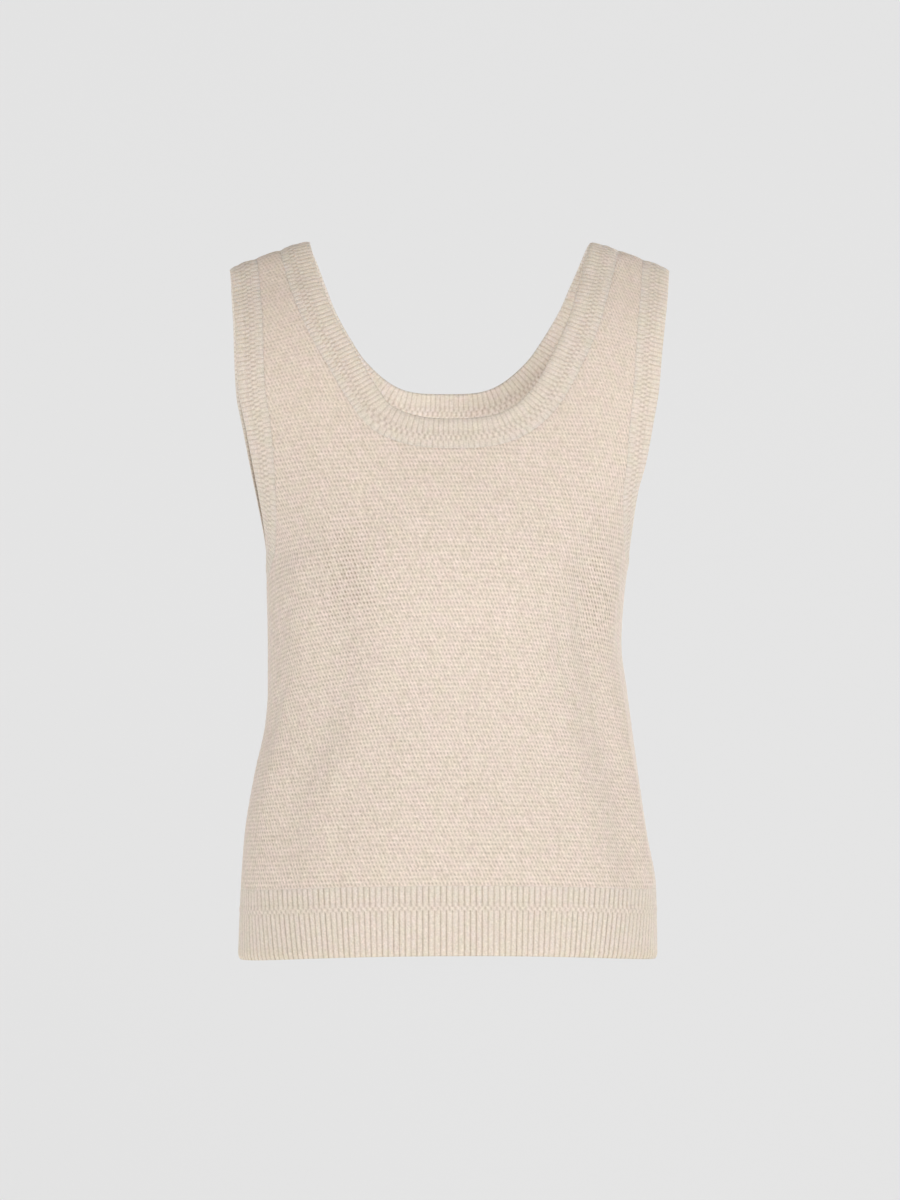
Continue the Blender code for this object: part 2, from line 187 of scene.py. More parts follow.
FOLD_REACH = 0.13


def ease(share):
    share = np.clip(share, 0, 1)
    return share * share * (3 - 2 * share)


def fold_push(angle, run):
    """How far the folds push the cloth out at each place."""
    drop = run * run
    push = np.zeros_like(drop)
    for face, angle_1, drop_1, angle_2, drop_2, width, out in FOLDS:
        along = ease((drop - drop_1) / (drop_2 - drop_1))
        middle = np.radians(angle_1 + (angle_2 - angle_1) * along)
        beyond = np.maximum(np.maximum(drop_1 - drop, drop - drop_2), 0)
        off = np.hypot((angle - middle) * FOLD_REACH / width, beyond / (2 * width))
        push += out * np.exp(-off * off) * (np.signbit(run) == (face < 0))
    return push


print(f"{len(FOLDS)} folds and ripples")

# %% [markdown]
# ## Points and directions on the surface
#
# One function turns angles and runs into points, with the folds pushed in or out. Another
# finds which way the cloth faces there, from points a small step away on each side.

# %% The surface, and the direction that it faces
def cloth(angle, run):
    """The points of the cloth's outer face at these angles and runs."""
    angle, run = np.broadcast_arrays(np.asarray(angle, float), np.asarray(run, float))
    front = np.signbit(run)
    level, drop = np.abs(run), run * run
    width = np.where(angle < 0, LEFT(level), RIGHT(level)) * WRAP(level)
    depth = np.where(front, FRONT(level), BACK(level))
    sine, cosine = np.sin(angle), np.maximum(np.cos(angle), 0)
    x = np.sign(angle) * width * np.abs(sine) ** (2 / ROUNDNESS)
    y = np.where(front, -1, 1) * depth * cosine ** (2 / ROUNDNESS)
    beyond_neck = (x * x - NECK_POINT**2) / (STRAP_END**2 - NECK_POINT**2)
    z = -drop - SHOULDER_SLOPE * np.maximum(beyond_neck, 0) * (1 - ease(drop / UNDERARM))
    z += front * HEM_LIFT * cosine**2 * ease((drop - UNDERARM) / (LENGTH - UNDERARM))
    push = fold_push(angle, run)
    return np.stack([x + push * sine, y + np.where(front, -1, 1) * push * cosine, z], axis=-1)


SIDE = math.pi / 2
STEP = 1e-4


def outward(angle, run):
    """The direction that the cloth faces at these places, and its slopes by angle and by run."""
    angle = np.clip(angle, -SIDE + 2 * STEP, SIDE - 2 * STEP)
    run = np.where(np.abs(run) < STEP, np.copysign(STEP, run), run)
    by_angle = (cloth(angle + STEP, run) - cloth(angle - STEP, run)) / (2 * STEP)
    by_run = (cloth(angle, run + STEP / 2) - cloth(angle, run - STEP / 2)) / STEP
    facing = np.cross(by_angle, by_run)
    return facing / np.linalg.norm(facing, axis=-1, keepdims=True), by_angle, by_run


hem_round = cloth(np.linspace(-SIDE, SIDE, 200), -math.sqrt(LENGTH))
hem_round = np.linalg.norm(np.diff(hem_round, axis=0), axis=1).sum()
print(f"the hem's front half measures {hem_round * 1000:.0f} mm round")

# %% [markdown]
# ## The edges of the neck and the armholes
#
# The neck's free edge is a smooth closed curve through a few points on the front and on
# the back. An armhole's free edge is where the straps' outline meets the body's section.
# A band is knitted out from its free edge, so its rows are found by walking over the cloth
# square to that edge, one small step for each row.

# %% Neck and armhole edges
# Each row: across to the left, across to the right, drop
FRONT_NECK = (
    (0.0000, 0.0000, 0.1508),
    (0.0365, 0.0330, 0.1472),
    (0.0540, 0.0500, 0.1390),
    (0.0622, 0.0615, 0.1280),
    (0.0820, 0.0820, 0.0945),
    (0.0962, 0.0945, 0.0685),
    (0.1070, 0.1035, 0.0420),
    (0.1130, 0.1100, 0.0205),
    (0.1165, 0.1145, 0.0060),
)
BACK_NECK = (
    (0.0000, 0.0000, 0.1254),
    (0.0345, 0.0345, 0.1225),
    (0.0680, 0.0680, 0.0985),
    (0.0810, 0.0810, 0.0800),
    (0.0935, 0.0935, 0.0585),
    (0.1030, 0.1030, 0.0360),
    (0.1105, 0.1105, 0.0175),
    (0.1163, 0.1150, 0.0050),
)
CURVE_STEPS = 24
ARMHOLE_PLACES = 240


def closed_curve(points, steps):
    """A smooth closed curve through points, whose last point repeats its first."""
    points = np.asarray(points, float)
    after = np.roll(points, -1, axis=0)
    gap_after = np.linalg.norm(after - points, axis=1, keepdims=True)
    gap_before = np.roll(gap_after, 1, axis=0)
    before = np.roll(points, 1, axis=0)
    both = gap_before + gap_after
    slope = (points - before) * gap_after / gap_before / both
    slope += (after - points) * gap_before / gap_after / both
    next_slope = np.roll(slope, -1, axis=0)
    u = (np.arange(steps) / steps)[:, None, None]
    curve = (1 + 2 * u) * (1 - u) ** 2 * points + u * (1 - u) ** 2 * gap_after * slope
    curve += u * u * (3 - 2 * u) * after - u * u * (1 - u) * gap_after * next_slope
    curve = curve.transpose(1, 0, 2).reshape(-1, 2)
    return np.concatenate([curve, curve[:1]])


def neck_edge():
    """The neck's free edge, from the left shoulder round the front and the back again."""
    around = [(-NECK_POINT, 0.0)]
    around += [(-left, -math.sqrt(drop)) for left, _, drop in FRONT_NECK[:0:-1]]
    around += [(right, -math.sqrt(drop)) for _, right, drop in FRONT_NECK]
    around += [(NECK_POINT, 0.0)]
    around += [(right, math.sqrt(drop)) for _, right, drop in BACK_NECK[::-1]]
    around += [(-left, math.sqrt(drop)) for left, _, drop in BACK_NECK[1:]]
    across, run = closed_curve(around, CURVE_STEPS).T
    level = np.abs(run)
    width = np.where(across < 0, LEFT(level), RIGHT(level)) * WRAP(level)
    share = np.minimum(np.abs(across) / width, 1)
    return np.sign(across) * np.arcsin(share ** (ROUNDNESS / 2)), run


def armhole_edge(side):
    """An armhole's free edge, with the opening on its left all the way round."""
    drop = UNDERARM * (1 + np.cos(np.linspace(0, math.pi, ARMHOLE_PLACES))) / 2
    half = np.arcsin(WRAP(np.sqrt(drop)) ** (-ROUNDNESS / 2))
    angle = np.concatenate([half, half[-2::-1]])
    run = np.sqrt(drop)
    return side * angle, side * np.concatenate([run, -run[-2::-1]])


def length_along(angle, run):
    points = cloth(angle, run)
    steps = np.linalg.norm(np.diff(points, axis=0), axis=1)
    return np.concatenate([[0], np.cumsum(steps)])


def evenly(line, count):
    """This many places, evenly spaced along a line of places."""
    reach = length_along(*line)
    wanted = np.linspace(0, reach[-1], count)
    return np.interp(wanted, reach, line[0]), np.interp(wanted, reach, line[1])


def walk_out(line, widths):
    """The rows of a band: a line again at each of these distances from it, over the cloth."""
    angle, run = line
    points = cloth(angle, run)
    along = np.empty_like(points)
    along[1:-1] = points[2:] - points[:-2]
    along[0] = along[-1] = points[1] - points[-2]
    rows = [(angle, run)]
    for step in np.diff(widths):
        facing, by_angle, by_run = outward(angle, run)
        way = np.cross(along, facing)
        way *= step / np.linalg.norm(way, axis=-1, keepdims=True)
        aa, rr = (by_angle**2).sum(-1), (by_run**2).sum(-1)
        ar = (by_angle * by_run).sum(-1)
        wa, wr = (way * by_angle).sum(-1), (way * by_run).sum(-1)
        spread = aa * rr - ar * ar
        angle = angle + (wa * rr - wr * ar) / spread
        run = run + (wr * aa - wa * ar) / spread
        for values in (angle, run):
            values[1:-1] = (values[:-2] + 2 * values[1:-1] + values[2:]) / 4
        rows.append((angle, run))
    return rows


NECK_EDGE = neck_edge()
print(f"the neck's edge is {length_along(*NECK_EDGE)[-1] * 1000:.0f} mm round")

# %% [markdown]
# ## The panels laid flat
#
# Stitches are all one size, so they have to be counted on the flat cloth and not in the
# angles of the surface. A flat panel has two measures. Across, it is the length round the
# cloth from the centre line. Down, it is the length from the shoulder seam along the
# centre. Below the underarm the panel has straight sides, and there the knit stretches or
# slackens a little to follow the body. The courses of a worn top aren't level either: the
# bust lifts them in the middle, so they arch.

# %% Flat measures of a panel
# How far the courses arch on the front and the back, and the drops where that begins, is
# greatest and ends
ARCH = {-1: 0.030, 1: 0.010}
ARCH_TOP, ARCH_PEAK, ARCH_END = 0.100, 0.320, 0.535
REACH_SPARE = 1.35
ARCH_ROUNDS = 30
LEVELS = np.linspace(0, math.sqrt(LENGTH), 301)
ANGLES = np.linspace(0, SIDE, 181)
UNDERARM_LEVEL = int(np.searchsorted(LEVELS, math.sqrt(UNDERARM + ARMBAND)))


def arch(height):
    """How much of the arch a course has, by how far down it is at the centre line."""
    return ease((height - ARCH_TOP) / (ARCH_PEAK - ARCH_TOP)) * ease(
        (ARCH_END - height) / (ARCH_END - ARCH_PEAK)
    )


def between(table, row, column):
    """Reads a table between its entries, at fractional rows and columns."""
    row = np.clip(row, 0, table.shape[0] - 1)
    column = np.clip(column, 0, table.shape[1] - 1)
    i = np.minimum(row.astype(int), table.shape[0] - 2)
    j = np.minimum(column.astype(int), table.shape[1] - 2)
    a, b = row - i, column - j
    low = table[i, j] * (1 - b) + table[i, j + 1] * b
    return low * (1 - a) + (table[i + 1, j] * (1 - b) + table[i + 1, j + 1] * b) * a


class FlatPanel:
    """Turns places on the front or the back into flat measures, and back again."""

    def __init__(self, face):
        self.face = face
        self.round = {}
        for side in (-1, 1):
            points = cloth(side * ANGLES[None, :], face * LEVELS[:, None])
            steps = np.linalg.norm(np.diff(points, axis=1), axis=2)
            self.round[side] = np.concatenate([np.zeros((len(LEVELS), 1)), np.cumsum(steps, 1)], 1)
        self.half = sum(self.round[side][UNDERARM_LEVEL, -1] for side in (-1, 1)) / 2
        self.reach = np.linspace(0, self.half * REACH_SPARE, len(LEVELS))
        self.stretch, self.angles = {}, {}
        for side in (-1, 1):
            ratio = self.half / self.round[side][:, -1]
            ratio[:UNDERARM_LEVEL] = ratio[UNDERARM_LEVEL]
            self.stretch[side] = ratio
            self.angles[side] = np.array([
                np.interp(self.reach / k, row, ANGLES)
                for k, row in zip(ratio, self.round[side])
            ])
        middle = cloth(0.0, face * LEVELS)
        down = np.linalg.norm(np.diff(middle, axis=0), axis=1)
        self.down = np.concatenate([[0], np.cumsum(down)])

    def flatten(self, angle, run):
        """The lengths across and down of these places."""
        level = np.abs(run) / (LEVELS[1] - LEVELS[0])
        column = np.abs(angle) / (ANGLES[1] - ANGLES[0])
        across = np.zeros_like(angle)
        for side in (-1, 1):
            ratio = np.interp(np.abs(run), LEVELS, self.stretch[side])
            round_it = between(self.round[side], level, column) * ratio
            across = np.where(np.sign(angle) == side, side * round_it, across)
        height = run * run
        for _ in range(ARCH_ROUNDS):
            height = run * run - ARCH[self.face] * arch(height) * (across / self.half) ** 2
        return across, np.interp(np.sqrt(np.maximum(height, 0)), LEVELS, self.down)

    def wear(self, across, down):
        """The places at these lengths across and down."""
        height = np.interp(down, self.down, LEVELS) ** 2
        drop = height + ARCH[self.face] * arch(height) * (across / self.half) ** 2
        level = np.sqrt(drop)
        row = level / (LEVELS[1] - LEVELS[0])
        column = np.abs(across) / (self.reach[1] - self.reach[0])
        left = between(self.angles[-1], row, column)
        right = between(self.angles[1], row, column)
        return np.where(across < 0, -left, right), self.face * level


FLAT = {face: FlatPanel(face) for face in (-1, 1)}
for face, panel in FLAT.items():
    print("front" if face < 0 else "back", f"is {2000 * panel.half:.0f} mm wide laid flat")

# %% [markdown]
# ## Cutting and wearing the flat pieces
#
# Each piece is cut flat and then put on, as cloth is. The flat mesh of a panel is a grid
# with one point for each stitch. Its faces outside the cut lines are deleted, and it is
# made solid, so that it has a right side and a wrong side. The wrong side of a panel keeps
# only every fourth line, because nothing there needs the fine grid. Then every point goes
# to its place on the worn surface, raised or lowered by its stitch.

# %% Helpers for flat pieces
WALL = 0.0012
INNER_STRIDE = 4
BETWEEN_LAYERS = -0.5
WELD_WITHIN = 2e-6


def flat_grid(columns, rows):
    """A grid of one unit a cell, from (0, 0) to (columns, rows)."""
    mesh = bmesh.new()
    bmesh.ops.create_grid(mesh, x_segments=columns, y_segments=rows, size=0.5)
    for vert in mesh.verts:
        vert.co.x = round((vert.co.x + 0.5) * columns)
        vert.co.y = round((vert.co.y + 0.5) * rows)
    return mesh


def make_solid(mesh):
    """A second layer, at -1, joined to the first along all edges."""
    bmesh.ops.solidify(mesh, geom=mesh.faces[:], thickness=1.0)
    heights = [vert.co.z for vert in mesh.verts]
    middle = (min(heights) + max(heights)) / 2
    for vert in mesh.verts:
        vert.co.z = 0.0 if vert.co.z > middle else -1.0


def thin_inner(mesh, stride):
    """Dissolves the lines of the lower layer, except every few of them."""
    spare = []
    for edge in mesh.edges:
        if any(vert.co.z > BETWEEN_LAYERS for face in edge.link_faces for vert in face.verts):
            continue
        a, b = (vert.co for vert in edge.verts)
        line = a.x if abs(a.x - b.x) < abs(a.y - b.y) else a.y
        if round(line) % stride:
            spare.append(edge)
    bmesh.ops.dissolve_edges(mesh, edges=spare, use_verts=True)


def wear_piece(name, mesh, place, weld=False):
    """Makes the object. place turns flat points into worn points, knit lengths and painted light
    and shade.
    """
    data = bpy.data.meshes.new(name)
    mesh.to_mesh(data)
    mesh.free()
    flat = np.empty(len(data.vertices) * 3, np.float32)
    data.vertices.foreach_get("co", flat)
    flat = flat.reshape(-1, 3).astype(float)
    points, lengths, relief_and_painted_shade = place(flat)
    data.vertices.foreach_set("co", points.astype(np.float32).ravel())
    # Each point carries painted light and shade, 0 dark in the pits to 1 light on top
    data.attributes.new("relief_and_painted_shade", "FLOAT", "POINT").data.foreach_set(
        "value", relief_and_painted_shade.astype(np.float32)
    )
    corner = np.empty(len(data.loops), np.int32)
    data.loops.foreach_get("vertex_index", corner)
    data.uv_layers.new(name="knit").data.foreach_set(
        "uv", lengths[corner].astype(np.float32).ravel()
    )
    inner = np.empty(len(data.polygons), np.int32)
    for polygon in data.polygons:
        inner[polygon.index] = max(flat[v, 2] for v in polygon.vertices) < BETWEEN_LAYERS
    data.polygons.foreach_set("material_index", inner)
    whole = bmesh.new()
    whole.from_mesh(data)
    if weld:
        bmesh.ops.remove_doubles(whole, verts=whole.verts[:], dist=WELD_WITHIN)
    bmesh.ops.recalc_face_normals(whole, faces=whole.faces[:])
    for face in whole.faces:
        face.smooth = True
    open_edges = sum(not edge.is_manifold for edge in whole.edges)
    whole.to_mesh(data)
    whole.free()
    piece = bpy.data.objects.new(name, data)
    SCENE.collection.objects.link(piece)
    data.calc_loop_triangles()
    print(f"{name}: {len(data.loop_triangles)} triangles, {open_edges} open edges")
    return piece


print(f"the panels' cloth is {WALL * 1000:.1f} mm thick")

# %% [markdown]
# ## The stitch of the panels
#
# The body is a pin-point knit: every other stitch of every other course stands up as a
# small light dash, with a dark pit beside it, and the next such course is shifted by one
# stitch. The courses between them lie flat and even. On the grid that is a pattern of two
# by four points, with heights in tenths of a millimetre. Each point also carries painted
# light and shade: painted light on the dashes and painted shade in the pits. No two
# stitches are quite alike in yarn, so each height and its painted light vary a little.

# %% The panel's stitches
# Where the knit is stretched, its pits open and are painted darker with shade: face, across, drop,
# reach across, reach down
OPEN_PLACES = (
    (-1, -0.088, 0.285, 0.022, 0.050),
    (-1, 0.118, 0.300, 0.020, 0.045),
    (1, -0.080, 0.240, 0.030, 0.050),
    (1, 0.085, 0.260, 0.028, 0.050),
)
WALES_PER_HALF = 150
COLUMN = {face: FLAT[face].half / WALES_PER_HALF for face in FLAT}
ROW = 0.00178
BUMP, PIT, EVEN = 0.00018, -0.00040, 0.00016
UNEVENNESS = 0.00008
# Painted light and shade, about 0 to 1, on a dash, in a pit and on the even courses between; the
# pits are painted dark with shade
PAINTED_DASH_LIGHT, PAINTED_PIT_SHADE, PAINTED_EVEN_LIGHT = 0.91, 0.11, 0.87
LIGHT_UNEVENNESS = 0.12
# How far a stitch strays from its place, as a share of its size
WANDER = 0.08
# The stitches lie closest on the straps: how calm there, from which drop, over how far
CALMEST, CALM_FROM, CALM_OVER = 0.60, 0.02, 0.26
MEAN_LIGHT = 0.68


def stitch_height(i, j, chance):
    """The height of the knit at each grid point, and its painted light and shade, about 0 to 1."""
    dashes = j % 2 == 0
    up = (i + j // 2) % 2 == 0
    height = np.where(dashes, np.where(up, BUMP, PIT), EVEN)
    light = np.where(dashes, np.where(up, PAINTED_DASH_LIGHT, PAINTED_PIT_SHADE), PAINTED_EVEN_LIGHT)
    vary = chance.normal(size=i.shape)
    return height + UNEVENNESS * vary, np.clip(light + LIGHT_UNEVENNESS * vary, -0.1, 1.1)


def openness(face, points):
    """How far open the stitches are at these points, 0 to 1."""
    x, drop = points[:, 0], -points[:, 2]
    open_ = np.zeros(len(points))
    for where, across, middle, wide, high in OPEN_PLACES:
        if where == face:
            open_ += np.exp(-(((x - across) / wide) ** 2) - ((drop - middle) / high) ** 2)
    return np.minimum(open_, 1)


print(f"a stitch of the front is {COLUMN[-1] * 1000:.2f} by {ROW * 1000:.2f} mm")

# %% [markdown]
# ## Where the panels are cut
#
# A panel is cut a little past the joins of its bands, and its edge is tucked in under them.
# The cloth dips along a seam, and on top of the shoulder it sinks beside each join. A cut
# line is the last row of a walk over the worn cloth, laid flat.

# %% The panels' cut lines
TUCK = 0.0022
TUCK_DEPTH = 0.0011
SEAM_DEPTH = 0.00045
SEAM_REACH = 0.0022
HEM_JOIN = LENGTH - HEM_BAND
SHOULDER_RUN = 0.02
NOTCH, NOTCH_REACH, SHOULDER_TOP = 0.0011, 0.0030, 0.09
NECK_PLACES, ARM_PLACES, WALK_ROWS = 400, 300, 9
MIDDLE_RUN = 0.6
SAME_PLACE = 1e-7
POINTS_AT_ONCE = 4000


def cut_line(face, rows):
    """The last row of a walk, on one face, as a line of flat points."""
    angle, run = rows[-1]
    here = face * run > SHOULDER_RUN
    first = -np.flatnonzero(~here)[0]
    angle, run, here = (np.roll(values, first) for values in (angle, run, here))
    line = np.stack(FLAT[face].flatten(angle[here], run[here]), axis=-1)
    apart = np.linalg.norm(np.diff(line, axis=0), axis=1) > SAME_PLACE
    return line[np.append(apart, True)]


def from_line(line, points):
    """Distance of flat points from a cut line, more than 0 inside, and the nearest points."""
    start, way = line[:-1], np.diff(line, axis=0)
    reach = np.maximum((way**2).sum(-1), 1e-18)
    distance = np.empty(len(points))
    nearest = np.empty_like(points)
    for first in range(0, len(points), POINTS_AT_ONCE):
        some = slice(first, first + POINTS_AT_ONCE)
        off = points[some, None] - start
        share = np.clip((off * way).sum(-1) / reach, 0, 1)
        off -= share[..., None] * way
        i = (off**2).sum(-1).argmin(axis=1)
        off = off[np.arange(len(i)), i]
        turn = way[i, 0] * off[:, 1] - way[i, 1] * off[:, 0]
        distance[some] = np.copysign(np.linalg.norm(off, axis=1), turn)
        nearest[some] = points[some] - off
    return distance, nearest


def notch(from_join, run):
    """On top of the shoulder, the cloth sinks a little on both sides of a join."""
    return NOTCH * np.exp(-((from_join / NOTCH_REACH) ** 2) - (run / SHOULDER_TOP) ** 2)


def down_to(face, run):
    """How far down the centre line of a flat panel a run is."""
    return FLAT[face].flatten(np.zeros(1), np.full(1, face * run))[1][0]


def panel_lines(face):
    """The neck's and both armholes' cut lines, each with the cloth on its positive side."""
    to_join = np.linspace(0, NECKBAND - TUCK, WALK_ROWS)
    lines = [cut_line(face, walk_out(evenly(NECK_EDGE, NECK_PLACES), to_join))]
    to_join = np.linspace(0, ARMBAND - TUCK, WALK_ROWS)
    for side in (-1, 1):
        lines.append(cut_line(face, walk_out(evenly(armhole_edge(side), ARM_PLACES), to_join)))
    middle = np.array([[0.0, down_to(face, MIDDLE_RUN)]])
    return [line if from_line(line, middle)[0][0] > 0 else line[::-1] for line in lines]


print(f"the panels reach {TUCK * 1000:.1f} mm under their bands")

# %% [markdown]
# ## Knitting the panels
#
# What lies outside the cut lines goes, and the points nearest to a cut line move onto it.
# Towards the seams and the tucked edges the stitches fade out. On the straps they lie
# closer, so they are calmer there.

# %% Make the panels
SNAP = 1.2
TUCK_FADE = 1.3
OPEN_SHADE = 0.45
LEAST_LIGHT = 0.12
WRONG_SIDE_LIGHT = 0.5
PANEL_SEED = 11


def make_panel(name, face):
    flat = FLAT[face]
    column = COLUMN[face]
    hem_down = down_to(face, math.sqrt(HEM_JOIN))
    rows = round(hem_down / ROW)
    row = hem_down / rows
    lines = panel_lines(face)
    corner = np.array([WALES_PER_HALF, 0])
    size = np.array([column, row])
    mesh = flat_grid(2 * WALES_PER_HALF, rows + 1)

    middles = np.array([face_.calc_center_median()[:2] for face_ in mesh.faces])
    inside = np.min([from_line(line, (middles - corner) * size)[0] for line in lines], axis=0)
    outside = [f for f, d in zip(mesh.faces[:], inside) if d < 0]
    bmesh.ops.delete(mesh, geom=outside, context="FACES")

    edge = [vert for vert in mesh.verts if vert.is_boundary]
    points = (np.array([vert.co[:2] for vert in edge]) - corner) * size
    for line in lines:
        distance, nearest = from_line(line, points)
        for k in np.flatnonzero(np.abs(distance) < SNAP * row):
            edge[k].co[:2] = (nearest[k] / size + corner).tolist()
    make_solid(mesh)
    thin_inner(mesh, INNER_STRIDE)
    chance = np.random.default_rng(PANEL_SEED + face)

    def place(flat_points):
        i, j = flat_points[:, 0], flat_points[:, 1]
        outer = flat_points[:, 2] > BETWEEN_LAYERS
        across, down = (i - WALES_PER_HALF) * column, j * row
        lengths = np.stack([across, down], axis=-1)
        edge_distance = np.min([from_line(line, lengths)[0] for line in lines], axis=0)
        edge_distance = np.minimum(edge_distance, hem_down + TUCK - down)
        seam_distance = np.minimum(flat.half - np.abs(across), down)
        tuck = TUCK_DEPTH * (1 - ease(edge_distance / (TUCK_FADE * TUCK)))
        dip = SEAM_DEPTH * (1 - ease(seam_distance / SEAM_REACH))
        height, light = stitch_height(np.round(i).astype(int), np.round(j).astype(int), chance)
        height = height * ease((edge_distance - TUCK / 2) / TUCK) * ease(seam_distance / row)
        free = ease(edge_distance / (2 * row) - 1) * ease(seam_distance / (2 * row) - 0.5)
        shift = chance.normal(size=(2, len(i))) * WANDER * free
        angle, run = flat.wear(across + shift[0] * column, down + shift[1] * row)
        calm = CALMEST + (1 - CALMEST) * ease((run * run - CALM_FROM) / CALM_OVER)
        # Painted light and shade are calmer on the straps, like the heights
        light = MEAN_LIGHT + (light - MEAN_LIGHT) * calm
        level = np.where(outer, height * calm, -WALL) - tuck - dip
        level -= notch(np.maximum(edge_distance - TUCK, 0), run)
        points = cloth(angle, run)
        # Painted shade: the pits are darker where the knit is stretched open
        light = light - OPEN_SHADE * openness(face, points) * np.maximum(1 - 2 * light, 0)
        # Painted shade goes no lower than LEAST_LIGHT; the wrong side takes one even mix, half way
        # to the painted shade colour
        light = np.where(outer, LEAST_LIGHT + (1 - LEAST_LIGHT) * light, WRONG_SIDE_LIGHT)
        return points + outward(angle, run)[0] * level[:, None], lengths, light

    return wear_piece(name, mesh, place)


front = make_panel("front_knit", -1)
back = make_panel("back_knit", 1)

# %% [markdown]
# ## The ribbed bands
#
# Rib is knit that stands up in columns on both faces, with a narrow dark groove between
# two columns. Each band also has one purl row, where the loops lie across and lean over,
# so that the row stands proud like a thin braid. The grooves are painted with shade,
# unevenly dark, and the purl loops with painted light on top and painted shade at their
# sides and in their creases. A band's grid has six points for each rib. Its free edge is
# rounded and rolls in a little, and its other edge dips where it was linked to the panel.
# That edge is kept sharp, so that no shade bleeds over the ribs.

# %% The ribs' shape
RIB_POINTS = 6
RIB_PROFILE = np.array((-0.00050, 0.00012, 0.00022, 0.00025, 0.00022, 0.00012))
# Painted light across a rib, lightest on its crest; the groove's painted shade is drawn at random
RIB_LIGHT = np.array((0.0, 0.76, 0.84, 0.86, 0.84, 0.76))
RIB_MEAN = 0.86
PURL_PROFILE = np.array((0.00022, 0.00040, 0.00058, 0.00064, 0.00058, 0.00040))
# Painted light on the tops of the purl loops and painted shade at their sides
PURL_LIGHT = np.array((0.40, 0.68, 0.90, 0.95, 0.90, 0.68))
# A groove's painted shade has a random light between 0 and this
GROOVE_SHADE_SPREAD = 0.40
PURL_CREASE = 0.00008
# The creases of a purl row lie along its middle and just outside it
MIDDLE_CREASE, SIDE_CREASE_AT, SIDE_CREASE = 0.25, 1.05, 0.2
# Painted shade in the creases
CREASE_SHADE = 0.15
RIB_LIGHT_UNEVENNESS = 0.06
BAND_WALL = 0.0015
LINK_DEPTH = 0.0001
EDGE_ROUND = 0.0013
# How deep in the wall the outer face ends at the free edge, as a share of it
EDGE_SHARE = 0.25
ROLL, ROLL_REACH = 0.0010, 0.0050


def rib_height(i, w, purl, depth, chance):
    """The height of a ribbed band and its painted light and shade, w along its width."""
    middle, reach = purl
    row = (w - middle) / reach
    k = i % RIB_POINTS
    # Each groove gets its own random painted shade
    painted_groove_shade = chance.uniform(0, GROOVE_SHADE_SPREAD, size=i.max() // RIB_POINTS + 1)[i // RIB_POINTS]
    shade = np.where(k == 0, painted_groove_shade, RIB_LIGHT[k])
    height, light = RIB_PROFILE[k] * depth, RIB_MEAN + (shade - RIB_MEAN) * depth
    loop = (i + np.where(row > 0, RIB_POINTS // 2, 0)) % RIB_POINTS
    swell = np.sqrt(np.maximum(np.cos(np.clip(row, -1, 1) * SIDE), 0))
    crease = np.exp(-((row / MIDDLE_CREASE) ** 2))
    crease += np.exp(-(((np.abs(row) - SIDE_CREASE_AT) / SIDE_CREASE) ** 2))
    inside = np.abs(row) < 1
    height = np.where(inside, PURL_PROFILE[loop] * swell, height) - PURL_CREASE * crease
    light = np.where(inside, PURL_LIGHT[loop], light) - CREASE_SHADE * crease
    vary = chance.normal(size=i.shape)
    return height + UNEVENNESS / 2 * vary, np.clip(light + RIB_LIGHT_UNEVENNESS * vary, 0, 1)


def make_band(name, angle, run, width, purl, seed, pitch, depth, free_row, ring):
    """angle and run are grids of places: a row for each step across the band's width."""
    rows, columns = angle.shape[0] - 1, angle.shape[1] - 1
    mesh = flat_grid(columns, rows)
    make_solid(mesh)
    if ring:
        ends = [f for f in mesh.faces if all(v.co.x in (0, columns) for v in f.verts)]
        bmesh.ops.delete(mesh, geom=ends, context="FACES")
    join_row = rows * (1 - free_row)
    for edge in mesh.edges:
        edge.smooth = any(v.co.y != join_row for v in edge.verts) or (
            edge.verts[0].co.z != edge.verts[1].co.z
        )
    chance = np.random.default_rng(seed)
    free_w = free_row * width

    def place(flat_points):
        i = np.round(flat_points[:, 0]).astype(int)
        j = np.round(flat_points[:, 1]).astype(int)
        outer = flat_points[:, 2] > BETWEEN_LAYERS
        w = j * width / rows
        lengths = np.stack([i * pitch / RIB_POINTS, w], axis=-1)
        around = i % columns if ring else i
        height, light = rib_height(around, w, purl, depth, chance)
        within, inner_light = rib_height(around + RIB_POINTS // 2, w, purl, depth, chance)
        from_free = np.abs(w - free_w)
        from_join = width - from_free
        rounded = 1 - ease(from_free / EDGE_ROUND)
        linked = LINK_DEPTH * (1 - ease(from_join / EDGE_ROUND))
        level = np.where(outer, height - linked, -BAND_WALL - within)
        end = np.where(outer, EDGE_SHARE, 1 - EDGE_SHARE) * BAND_WALL
        level = level * (1 - rounded) - end * rounded
        level -= ROLL * (1 - ease(from_free / ROLL_REACH))
        if not ring:
            seam = np.minimum(i, columns - i) * pitch / RIB_POINTS
            level -= SEAM_DEPTH * (1 - ease(seam / SEAM_REACH))
        a, r = angle[j, i], run[j, i]
        level -= notch(from_join, r)
        points = cloth(a, r) + outward(a, r)[0] * level[:, None]
        if ring:
            first, last = i == 0, i == columns
            order_first = np.lexsort((outer[first], j[first]))
            order_last = np.lexsort((outer[last], j[last]))
            same = points[first][order_first]
            spot = np.flatnonzero(last)[order_last]
            points[spot] = same
        return points, lengths, np.where(outer, light, inner_light)

    return wear_piece(name, mesh, place, weld=ring)


def ribs_round(line, pitch):
    return round(length_along(*line)[-1] / pitch)


print(f"a rib has {RIB_POINTS} points round")

# %% [markdown]
# ## The neckband and the armhole bands
#
# These bands are closed rings. Each has as many whole ribs as fit round its free edge. The
# two ends of an armhole band meet at the side seam, under the arm.

